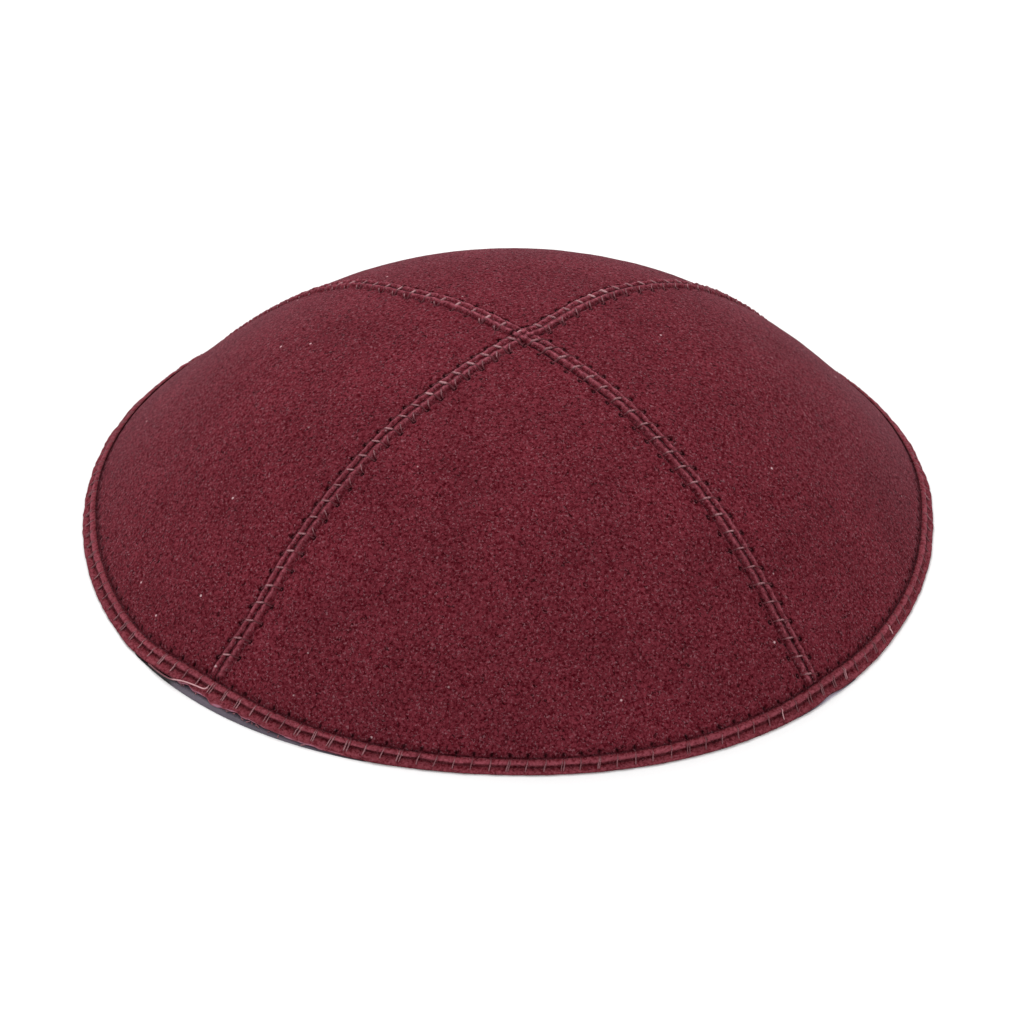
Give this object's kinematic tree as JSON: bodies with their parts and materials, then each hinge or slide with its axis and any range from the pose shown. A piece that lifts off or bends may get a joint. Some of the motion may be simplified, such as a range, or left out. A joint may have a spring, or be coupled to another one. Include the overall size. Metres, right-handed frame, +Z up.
{
  "type": "four-panel suede skullcap (kippah)",
  "caption": "Shallow domed skullcap of suede panels joined by raised stitched seams, with a ridged rim binding and a thin satin lining, open underneath for the head.",
  "frame": {"origin": "middle of the cap's box, on the ground that its rim stands on", "axes": "+Z up through the crown, -Y towards the front panel, +X to the cap's left as it is worn; the seams run at 45 degrees to X and Y"},
  "size_m": [0.1696, 0.1654, 0.0467],
  "materials": {
    "suede": "napped burgundy suede, matt, with a fine dark speckle",
    "lining_satin": "grey-purple satin with a soft sheen",
    "thread": "twisted polyester sewing thread, dusty rose"
  },
  "bodies": {
    "root": {"panel_front": "suede", "panel_right": "suede", "panel_back": "suede", "panel_left": "suede", "rim_binding": "suede", "lining": "lining_satin"}
  },
  "joints": []
}
